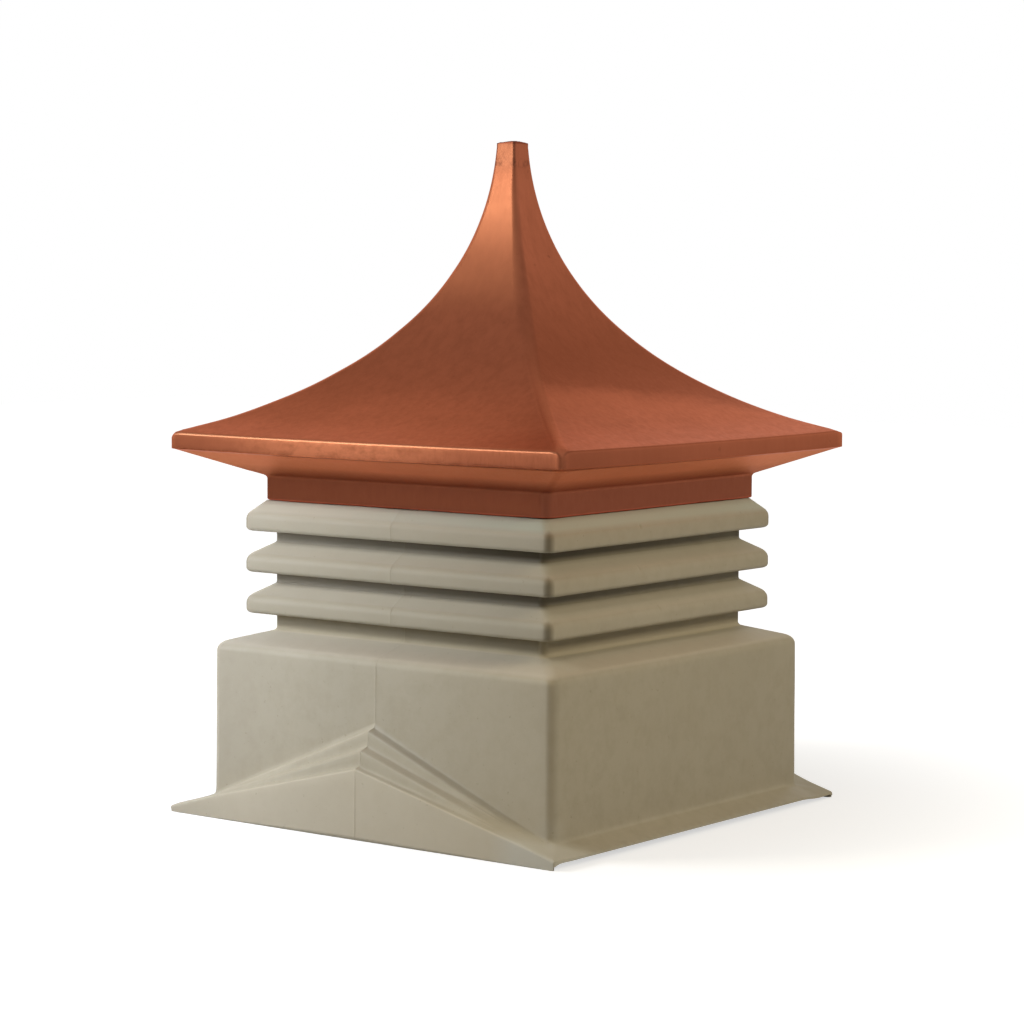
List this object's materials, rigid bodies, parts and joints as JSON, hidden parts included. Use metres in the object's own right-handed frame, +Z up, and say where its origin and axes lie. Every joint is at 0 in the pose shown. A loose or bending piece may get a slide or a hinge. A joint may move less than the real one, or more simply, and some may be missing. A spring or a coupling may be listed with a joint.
{
  "type": "roof cupola",
  "caption": "Square louvred roof cupola: hollow beige base with a ridge skirt, louvre rings and a boxed, bell-cast copper-finish cap.",
  "frame": {"origin": "middle of the base plane, on the vertical centre line", "axes": "+Z up; -Y is the front gable end; +X is the right-hand eave side; the roof ridge that the skirt straddles runs along Y"},
  "size_m": [0.5588, 0.5614, 0.773],
  "materials": {
    "base_plastic": "satin beige moulded plastic, fine mould flash on the centre line, faint dimples and scuffs",
    "cap_copper": "satin metallic copper-coloured coat over moulded plastic, slightly blotched"
  },
  "bodies": {
    "root": {"front_wall": "base_plastic", "front_shoulder": "base_plastic", "front_throat": "base_plastic", "front_lower_louvre": "base_plastic", "front_middle_louvre": "base_plastic", "front_upper_louvre": "base_plastic", "right_wall": "base_plastic", "right_shoulder": "base_plastic", "right_throat": "base_plastic", "right_lower_louvre": "base_plastic", "right_middle_louvre": "base_plastic", "right_upper_louvre": "base_plastic", "rear_wall": "base_plastic", "rear_shoulder": "base_plastic", "rear_throat": "base_plastic", "rear_lower_louvre": "base_plastic", "rear_middle_louvre": "base_plastic", "rear_upper_louvre": "base_plastic", "left_wall": "base_plastic", "left_shoulder": "base_plastic", "left_throat": "base_plastic", "left_lower_louvre": "base_plastic", "left_middle_louvre": "base_plastic", "left_upper_louvre": "base_plastic", "front_apron": "base_plastic", "rear_apron": "base_plastic", "left_flange": "base_plastic", "right_flange": "base_plastic", "front_collar": "cap_copper", "front_soffit": "cap_copper", "front_fascia": "cap_copper", "front_roof_panel": "cap_copper", "right_collar": "cap_copper", "right_soffit": "cap_copper", "right_fascia": "cap_copper", "right_roof_panel": "cap_copper", "rear_collar": "cap_copper", "rear_soffit": "cap_copper", "rear_fascia": "cap_copper", "rear_roof_panel": "cap_copper", "left_collar": "cap_copper", "left_soffit": "cap_copper", "left_fascia": "cap_copper", "left_roof_panel": "cap_copper", "vane_stub": "cap_copper"}
  },
  "joints": []
}
